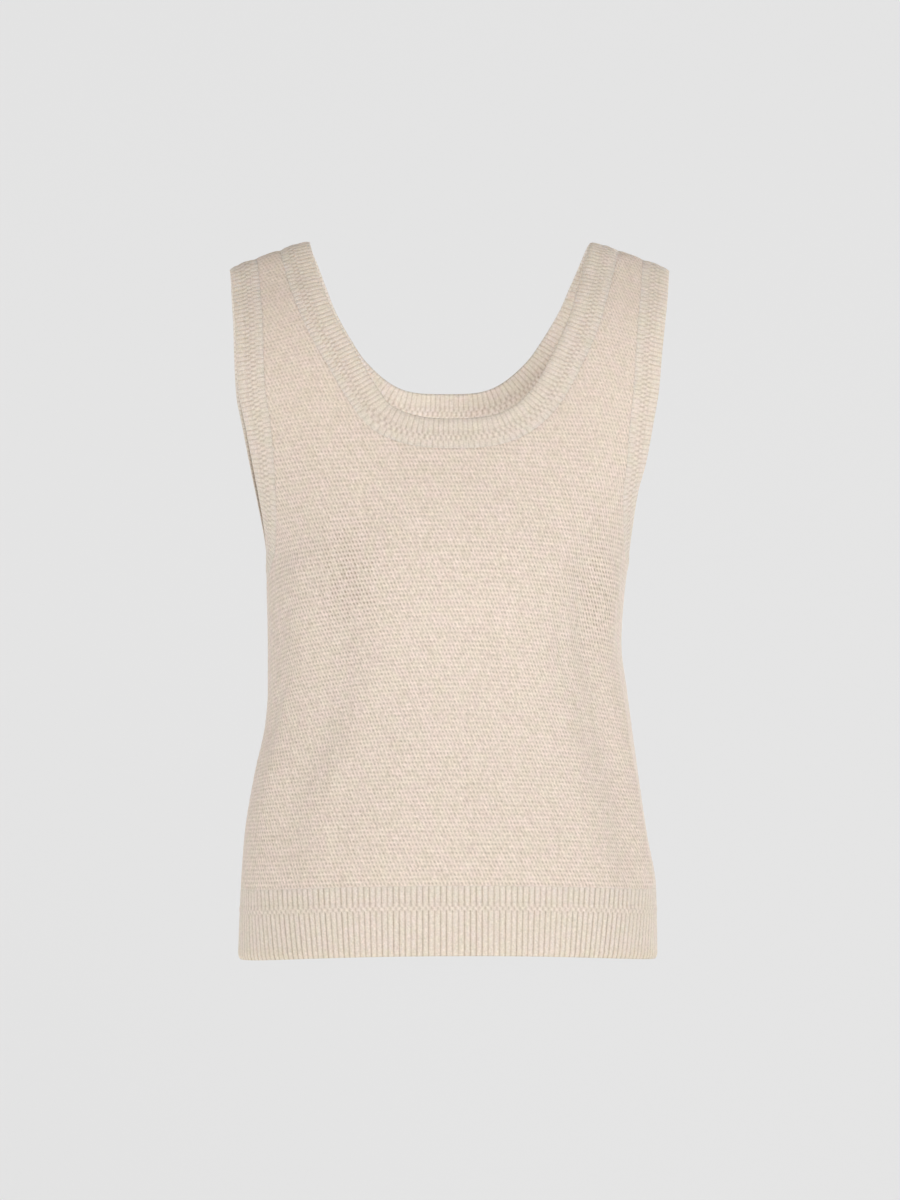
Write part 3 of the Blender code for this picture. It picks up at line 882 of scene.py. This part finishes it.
# %% Make the neckband and the armhole bands
EDGE_PITCH = 0.0039
EDGE_DEPTH = 0.55
NECK_ROWS, ARM_ROWS = 18, 16
EDGE_RIB = {"pitch": EDGE_PITCH, "depth": EDGE_DEPTH, "free_row": 0, "ring": True}
# Where a purl row's middle is across the band, and how far it reaches
NECK_PURL = (0.0157, 0.0034)
ARM_PURL = (0.0132, 0.0038)

neck_ribs = ribs_round(NECK_EDGE, EDGE_PITCH)
neck_rows = walk_out(
    evenly(NECK_EDGE, neck_ribs * RIB_POINTS + 1), np.linspace(0, NECKBAND, NECK_ROWS + 1)
)
angle, run = np.array(neck_rows).transpose(1, 0, 2)
neck = make_band("neckband_rib", angle, run, width=NECKBAND, purl=NECK_PURL, seed=21, **EDGE_RIB)
print(f"the neckband has {neck_ribs} ribs")


def make_armband(name, side, seed):
    edge = armhole_edge(side)
    ribs = ribs_round(edge, EDGE_PITCH)
    rows = walk_out(evenly(edge, ribs * RIB_POINTS + 1), np.linspace(0, ARMBAND, ARM_ROWS + 1))
    angle, run = np.array(rows).transpose(1, 0, 2)
    angle = np.clip(angle, -SIDE, SIDE)
    level = (np.abs(run[:, 0]) + np.abs(run[:, -1])) / 2
    for end in (0, -1):
        angle[:, end] = side * SIDE
        run[:, end] = np.copysign(level, run[:, end])
    print(f"{name} has {ribs} ribs")
    return make_band(name, angle, run, width=ARMBAND, purl=ARM_PURL, seed=seed, **EDGE_RIB)


arm_left = make_armband("armband_left_rib", -1, 22)
arm_right = make_armband("armband_right_rib", 1, 23)

# %% [markdown]
# ## The hem bands
#
# The hem is broad rib in a front and a back half, which meet at the side seams. Its ribs are
# counted on the join, and they lean a little towards the middle as they go down.

# %% Make the hem bands
HEM_PITCH = 0.0049
HEM_DEPTH = 0.97
HEM_RIB = {"pitch": HEM_PITCH, "depth": HEM_DEPTH, "free_row": 1, "ring": False}
HEM_ROWS = 39
HEM_PURL = (0.0172, 0.0031)
RIB_LEAN = 0.12
SEAM_GAP = 0.0003
HEM_PLACES = 400
HEM_RIBS = {}


def make_hem_band(name, face, seed):
    drop = np.linspace(HEM_JOIN + SEAM_GAP, LENGTH, HEM_ROWS + 1)[:, None]
    join_run = face * math.sqrt(HEM_JOIN)
    line = np.linspace(-SIDE, SIDE, HEM_PLACES), np.full(HEM_PLACES, join_run)
    ribs = ribs_round(line, HEM_PITCH)
    angle = evenly(line, ribs * RIB_POINTS + 1)[0][None, :]
    lean = RIB_LEAN * (drop - HEM_JOIN) / HEM_BAND * np.sin(angle) * np.abs(np.sin(angle))
    lean = lean * (1 - (angle / SIDE) ** 6)
    HEM_RIBS[face] = ribs
    print(f"{name} has {ribs} ribs")
    run = face * np.sqrt(drop) * np.ones_like(angle)
    return make_band(
        name, angle - lean, run, width=HEM_BAND, purl=HEM_PURL, seed=seed, **HEM_RIB
    )


hem_front = make_hem_band("hem_front_rib", -1, 24)
hem_back = make_hem_band("hem_back_rib", 1, 25)
PIECES = {
    "front_panel": front,
    "back_panel": back,
    "neckband": neck,
    "armband_left": arm_left,
    "armband_right": arm_right,
    "hem_band_front": hem_front,
    "hem_band_back": hem_back,
}

# %% [markdown]
# ## The yarn
#
# The yarn is a soft matt blend of ecru, a little pink and a little yellow. Its strands are
# spun together unevenly, so the cloth is flecked in faint patches a few millimetres
# across. The dark of the pattern isn't dye: it is shade between the stitches. The mesh
# holds the largest of it, and the rest is painted shade and light: each point carries a
# light value by how deep or high it lies, which darkens or lightens the colour. A fine bump
# adds the two legs of each stitch and the fuzz of loose fibres.

# %% Node groups
LINKS = {"FLOAT": "NodeSocketFloat", "COLOUR": "NodeSocketColor"}
# How many cells of noise a metre: patches of warm yarn, pale clouds, flecks and fuzz
PATCHES, CLOUDS, FLECKS, FUZZ = 95.0, 160.0, 650.0, 2600.0
LEG_LEAN, LEG_SHARE = 1.2, 0.35


def new_group(name, inputs, outputs):
    group = bpy.data.node_groups.new(name, "ShaderNodeTree")
    for direction, sockets in (("INPUT", inputs), ("OUTPUT", outputs)):
        for socket, kind in sockets.items():
            group.interface.new_socket(socket, in_out=direction, socket_type=LINKS[kind])
    return group, group.nodes.new("NodeGroupInput"), group.nodes.new("NodeGroupOutput")


def add(tree, kind, **settings):
    node = tree.nodes.new("ShaderNode" + kind)
    for setting, value in settings.items():
        setattr(node, setting, value)
    return node


def settle(node, values):
    """Sets a node's sockets by name."""
    for socket, value in values.items():
        node.inputs[socket].default_value = value


def noise(tree, coordinates, scale, detail, roughness=0.5):
    node = add(tree, "TexNoise")
    settle(node, {"Scale": scale, "Detail": detail, "Roughness": roughness})
    tree.links.new(coordinates, node.inputs["Vector"])
    return node.outputs["Fac"]


def spread(tree, value, low, high, to_low, to_high):
    """Maps a value from one range to another, and stops at both ends."""
    node = add(tree, "MapRange")
    for socket, setting in zip(node.inputs[1:5], (low, high, to_low, to_high)):
        socket.default_value = setting
    tree.links.new(value, node.inputs["Value"])
    return node.outputs["Result"]


def math_of(tree, operation, first, second):
    node = add(tree, "Math", operation=operation)
    for socket, value in zip(node.inputs, (first, second)):
        if isinstance(value, (int, float)):
            socket.default_value = value
        else:
            tree.links.new(value, socket)
    return node.outputs[0]


def mixed(tree, factor, first, second, blend="MIX"):
    node = add(tree, "Mix", data_type="RGBA", blend_type=blend)
    sockets = (node.inputs[0], node.inputs[6], node.inputs[7])
    for socket, value in zip(sockets, (factor, first, second)):
        if isinstance(value, tuple):
            socket.default_value = (*value, 1.0)
        elif isinstance(value, float):
            socket.default_value = value
        else:
            tree.links.new(value, socket)
    return node.outputs[2]


def heather_group():
    """Faint patches of pink, yellow and grey in the yarn, over any colour."""
    group, inside, outside = new_group("heather", {"Colour": "COLOUR"}, {"Colour": "COLOUR"})
    place = add(group, "TexCoord").outputs["Object"]
    warm = spread(group, noise(group, place, PATCHES, 3.0), 0.35, 0.65, 0.0, 1.0)
    tint = mixed(group, warm, (0.99, 1.0, 0.96), (1.02, 0.99, 1.0))
    light = spread(group, noise(group, place, CLOUDS, 4.0, 0.6), 0.3, 0.7, 0.0, 1.0)
    shade = mixed(group, light, (0.98, 0.98, 0.98), (1.02, 1.02, 1.02))
    both = mixed(group, 1.0, tint, shade, "MULTIPLY")
    fleck = spread(group, noise(group, place, FLECKS, 2.0, 0.7), 0.3, 0.7, 0.0, 1.0)
    flecks = mixed(group, fleck, (0.89, 0.89, 0.88), (1.09, 1.09, 1.10))
    both = mixed(group, 1.0, both, flecks, "MULTIPLY")
    result = mixed(group, 1.0, inside.outputs["Colour"], both, "MULTIPLY")
    group.links.new(result, outside.inputs["Colour"])
    return group


def yarn_group():
    """The height of the yarn's own surface, from the flat lengths of the knit."""
    group, inside, outside = new_group(
        "yarn", {"Wale": "FLOAT", "Course": "FLOAT"}, {"Height": "FLOAT"}
    )
    flat = add(group, "UVMap", uv_map="knit").outputs["UV"]
    parts = add(group, "SeparateXYZ")
    group.links.new(flat, parts.inputs[0])
    turns = math_of(group, "DIVIDE", parts.outputs["X"], inside.outputs["Wale"])
    rows = math_of(group, "DIVIDE", parts.outputs["Y"], inside.outputs["Course"])
    from_middle = math_of(group, "SUBTRACT", math_of(group, "FRACT", turns, 0.0), 0.5)
    zigzag = math_of(group, "ABSOLUTE", from_middle, 0.0)
    lean = math_of(group, "ADD", rows, math_of(group, "MULTIPLY", zigzag, LEG_LEAN))
    legs = math_of(group, "SINE", math_of(group, "MULTIPLY", lean, 2 * math.pi), 0.0)
    place = add(group, "TexCoord").outputs["Object"]
    fuzz = noise(group, place, FUZZ, 3.0, 0.7)
    total = math_of(group, "ADD", math_of(group, "MULTIPLY", legs, LEG_SHARE), fuzz)
    group.links.new(total, outside.inputs["Height"])
    return group


HEATHER, YARN = heather_group(), yarn_group()
print("node groups:", HEATHER.name, "and", YARN.name)

# %% [markdown]
# ## The knit as a material
#
# Each finish has a material for its right side and one for its wrong side. All of them mix
# a painted shade colour and the yarn's light colour by the painted light and shade that
# each point carries. The lowest edge of the hem is a little yellower.

# %% The knit materials
YARN_FINISH = {
    "Roughness": 0.88,
    "Specular IOR Level": 0.25,
    "Subsurface Weight": 0.35,
    "Subsurface Radius": (1.0, 0.85, 0.7),
    "Subsurface Scale": 0.004,
    "Sheen Weight": 0.12,
    "Sheen Roughness": 0.5,
    "Sheen Tint": (1.0, 0.95, 0.9, 1.0),
}


def knit_material(name, dark, light, wale, course, bump, low_edge=None):
    """A matt yarn, with painted shade in the pits of the stitches and light on top of them."""
    material = bpy.data.materials.new(name)
    material.use_nodes = True
    tree = material.node_tree
    shader = tree.nodes["Principled BSDF"]
    # Each point's painted light and shade mixes the shade colour and the yarn colour
    depth = add(tree, "Attribute", attribute_name="relief_and_painted_shade").outputs["Fac"]
    colour = mixed(tree, depth, dark, light)
    if low_edge:
        start, end, tint = low_edge
        height = add(tree, "SeparateXYZ")
        tree.links.new(add(tree, "TexCoord").outputs["Object"], height.inputs[0])
        low = spread(tree, height.outputs["Z"], start, end, 0.0, 1.0)
        colour = mixed(tree, low, colour, mixed(tree, 1.0, colour, tint, "MULTIPLY"))
    heather = add(tree, "Group", node_tree=HEATHER)
    tree.links.new(colour, heather.inputs["Colour"])
    tree.links.new(heather.outputs["Colour"], shader.inputs["Base Color"])
    yarn = add(tree, "Group", node_tree=YARN)
    settle(yarn, {"Wale": wale, "Course": course})
    relief_and_painted_shade = add(tree, "Bump")
    settle(relief_and_painted_shade, {"Strength": 1.0, "Distance": bump})
    tree.links.new(yarn.outputs["Height"], relief_and_painted_shade.inputs["Height"])
    tree.links.new(relief_and_painted_shade.outputs["Normal"], shader.inputs["Normal"])
    settle(shader, YARN_FINISH)
    return material


WALE, COURSE, RIB_COURSE = 0.0027, 0.0037, 0.0018
YARN_BUMP, WRONG_SIDE_BUMP = 0.00012, 0.0005
# The dark colours are painted shade for the pits and grooves; the light colours are the yarn's own
BODY_PAINTED_SHADE, BODY_LIGHT = (0.46, 0.37, 0.29), (0.85, 0.733, 0.648)
RIB_PAINTED_SHADE, RIB_LIGHTER = (0.46, 0.375, 0.30), (0.82, 0.734, 0.65)
# Painted light: the bands' wrong side is paler than their right side, to lighten the shaded inside
# of the neck
RIB_INSIDE_PAINTED_LIGHT = (0.86, 0.80, 0.74)
# Where the yellower edge begins and is full, and its tint
LOW_EDGE = (-0.586, -0.600, (1.0, 0.99, 0.93))

MATERIALS = {
    "pin_point_knit": (
        knit_material("pin_point_yarn", BODY_PAINTED_SHADE, BODY_LIGHT, WALE, COURSE, YARN_BUMP),
        knit_material(
            "pin_point_wrong_side", BODY_PAINTED_SHADE, BODY_LIGHT, WALE, COURSE, WRONG_SIDE_BUMP
        ),
    ),
    "rib_knit": (
        knit_material(
            "rib_yarn", RIB_PAINTED_SHADE, RIB_LIGHTER, EDGE_PITCH, RIB_COURSE, YARN_BUMP, LOW_EDGE
        ),
        knit_material("rib_wrong_side", RIB_PAINTED_SHADE, RIB_INSIDE_PAINTED_LIGHT, EDGE_PITCH, RIB_COURSE, YARN_BUMP),
    ),
}
SLOTS = {node: "pin_point_knit" if "panel" in node else "rib_knit" for node in PIECES}
for node, piece in PIECES.items():
    for material in MATERIALS[SLOTS[node]]:
        piece.data.materials.append(material)
print(f"{len(bpy.data.materials)} materials")

# %% [markdown]
# ## The stage
#
# The garment stands for a shop's picture, with no wearer and nothing around it. The floor
# and the wall are one smooth pale sweep, so that no line shows behind the cloth. Its paper
# glows a little, which keeps it even. The camera sees through it from behind, so that the
# garment's back can be looked at.

# %% The sweep
FLOOR = -1.7
WALL_AT, WALL_TOP = 1.6, 4.0
SWEEP, SWEEP_STEPS = 0.6, 24
HALF_STAGE = 12.0
PAPER = {
    "Base Color": (0.25, 0.25, 0.25, 1),
    "Roughness": 0.95,
    "Specular IOR Level": 0.1,
    "Emission Color": (1, 1, 1, 1),
    "Emission Strength": 0.555,
}


def make_sweep():
    """The floor, the round and the wall as one sheet that faces the garment."""
    profile = [(-HALF_STAGE, FLOOR)]
    for step in range(SWEEP_STEPS + 1):
        turn = step / SWEEP_STEPS * SIDE
        y = WALL_AT - SWEEP + SWEEP * math.sin(turn)
        profile.append((y, FLOOR + SWEEP * (1 - math.cos(turn))))
    profile.append((WALL_AT, WALL_TOP))
    sweep = bmesh.new()
    line = [sweep.verts.new((-HALF_STAGE, y, z)) for y, z in profile]
    for a, b in zip(line, line[1:]):
        sweep.edges.new((a, b))
    made = bmesh.ops.extrude_edge_only(sweep, edges=sweep.edges[:])["geom"]
    for vert in (item for item in made if isinstance(item, bmesh.types.BMVert)):
        vert.co.x = HALF_STAGE
    bmesh.ops.recalc_face_normals(sweep, faces=sweep.faces[:])
    wall = max(sweep.faces, key=lambda face: face.calc_center_median().z)
    if wall.normal.y > 0:
        bmesh.ops.reverse_faces(sweep, faces=sweep.faces[:])
    data = bpy.data.meshes.new("backdrop")
    sweep.to_mesh(data)
    sweep.free()
    data.shade_smooth()
    backdrop = bpy.data.objects.new("backdrop", data)
    SCENE.collection.objects.link(backdrop)
    return backdrop


def paper_material():
    """Paper that glows a little, and that the camera sees through from behind."""
    paper = bpy.data.materials.new("paper")
    paper.use_nodes = True
    tree = paper.node_tree
    shader = tree.nodes["Principled BSDF"]
    settle(shader, PAPER)
    behind = add(tree, "NewGeometry").outputs["Backfacing"]
    seen = add(tree, "LightPath").outputs["Is Camera Ray"]
    see_through = add(tree, "MixShader")
    clear = add(tree, "BsdfTransparent")
    tree.links.new(math_of(tree, "MULTIPLY", behind, seen), see_through.inputs[0])
    tree.links.new(shader.outputs[0], see_through.inputs[1])
    tree.links.new(clear.outputs[0], see_through.inputs[2])
    tree.links.new(see_through.outputs[0], tree.nodes["Material Output"].inputs["Surface"])
    return paper


backdrop = make_sweep()
backdrop.data.materials.append(paper_material())
print("the sweep shows from the front only, so the garment can be seen from behind")

# %% [markdown]
# ## The light
#
# The light is broad and soft from the front, from three lamps and a pale world. A weak lamp
# lights the back, and a very small one inside the hollow lights the inner neck edge. What
# the camera sees of the world is paler than the light that it gives.

# %% The lamps and the world
WORLD_LIGHT, WORLD_SEEN = 0.30, 0.76


def area_light(name, place, aim, size, power, spread_angle=math.pi):
    light = bpy.data.objects.new(name, bpy.data.lights.new(name, "AREA"))
    light.data.shape = "RECTANGLE"
    light.data.size, light.data.size_y = size
    light.data.energy = power
    light.data.spread = spread_angle
    light.location = place
    light.visible_camera = False
    light.rotation_euler = (Vector(aim) - Vector(place)).to_track_quat("-Z", "Y").to_euler()
    SCENE.collection.objects.link(light)


area_light("key", (1.1, -3.0, 1.0), (0, 0, -0.30), (1.8, 1.2), 25)
area_light("left", (-2.5, -2.5, -0.9), (0, 0, -0.35), (1.4, 1.4), 46)
area_light("right", (2.9, -2.1, -0.1), (0, 0, -0.35), (1.4, 1.4), 44)
area_light("behind", (0.3, 1.4, 0.2), (0, 0, -0.3), (1.4, 1.2), 1.9, math.radians(60))
area_light("inside", (-0.02, -0.02, -0.29), (-0.02, 0.09, -0.13), (0.08, 0.05), 0.058, 1.7)
world = bpy.data.worlds.new("studio")
SCENE.world = world
world.use_nodes = True
background = world.node_tree.nodes["Background"]
background.inputs["Color"].default_value = (1, 1, 1, 1)
seen = add(world.node_tree, "LightPath").outputs["Is Camera Ray"]
strength = spread(world.node_tree, seen, 0.0, 1.0, WORLD_LIGHT, WORLD_SEEN)
world.node_tree.links.new(strength, background.inputs["Strength"])
SCENE.view_settings.view_transform = "Standard"

# %% [markdown]
# ## What each piece is
#
# Every piece rides on the garment's one body, and the solid that it stands for is hidden.
# The size that each had flat is printed: the widest width, the whole length and the area
# of a panel, and the length and width of a band's strip.

AREA_ACROSS, AREA_DOWN = 200, 300


def flat_size(face):
    """A panel's width, length and area laid flat, the area by counting the points inside."""
    flat = FLAT[face]
    across, down = np.meshgrid(
        np.linspace(-flat.half, flat.half, AREA_ACROSS), np.linspace(0, flat.down[-1], AREA_DOWN)
    )
    points = np.stack([across.ravel(), down.ravel()], axis=-1)
    hem = down_to(face, math.sqrt(HEM_JOIN))
    kept = np.min([from_line(line, points)[0] for line in panel_lines(face)], axis=0) > 0
    kept &= points[:, 1] < hem
    return 2 * flat.half, hem, kept.mean() * 2 * flat.half * flat.down[-1]


for node, piece in PIECES.items():
    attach(piece, "root")
    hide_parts(node)

for node, face in (("front_panel", -1), ("back_panel", 1)):
    wide, long, area = flat_size(face)
    print(f"{node}: {wide * 1000:.0f} x {long * 1000:.0f} mm flat, {area * 1e4:.0f} cm2")

BAND_FLATS = {
    "neckband": (neck_ribs * EDGE_PITCH, NECKBAND),
    "armband_left": (ribs_round(armhole_edge(-1), EDGE_PITCH) * EDGE_PITCH, ARMBAND),
    "armband_right": (ribs_round(armhole_edge(1), EDGE_PITCH) * EDGE_PITCH, ARMBAND),
    "hem_band_front": (HEM_RIBS[-1] * HEM_PITCH, HEM_BAND),
    "hem_band_back": (HEM_RIBS[1] * HEM_PITCH, HEM_BAND),
}
for node, (long, wide) in BAND_FLATS.items():
    print(f"{node}: {long * 1000:.0f} x {wide * 1000:.0f} mm flat")
